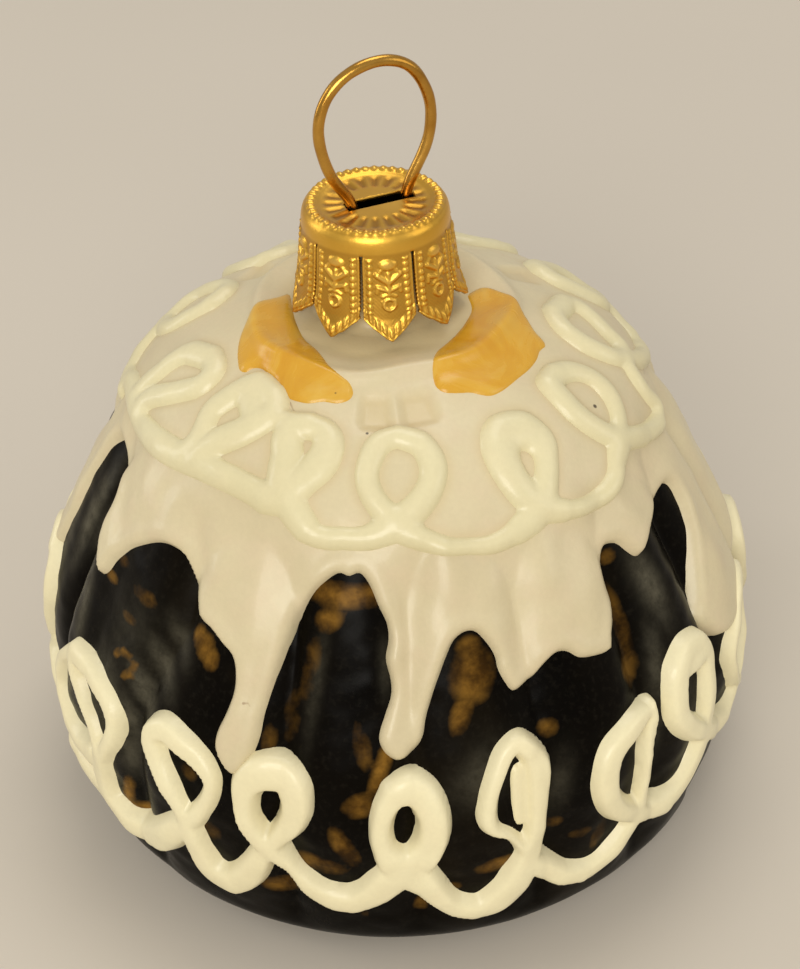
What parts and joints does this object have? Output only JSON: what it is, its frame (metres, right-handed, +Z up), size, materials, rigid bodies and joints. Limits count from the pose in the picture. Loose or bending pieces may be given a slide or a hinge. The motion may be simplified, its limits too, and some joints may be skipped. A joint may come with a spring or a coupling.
{
  "type": "bundt cake tree ornament",
  "caption": "Hanging glass ornament shaped like an iced chocolate bundt cake, with piped loop garlands, a crown cap with pointed tabs and a sprung wire loop; stands on its flat base.",
  "frame": {"origin": "centre of the footprint at the flat base", "axes": "+Z up along the axis of the cake towards the hanger; -Y is the front; the wire loop's plane is turned 21 degrees from X"},
  "size_m": [0.0686, 0.0684, 0.075],
  "materials": {
    "painted_glass": "opaque gloss enamel over blown glass",
    "chocolate_glass": "dark satin lacquer with rubbed golden brown patches",
    "amber_enamel": "gloss amber enamel",
    "gold_cap": "satin gold pressed sheet",
    "brass_wire": "drawn wire"
  },
  "bodies": {
    "root": {"glass_body": "painted_glass", "cap": "gold_cap", "wire_hanger": "brass_wire"}
  },
  "joints": []
}
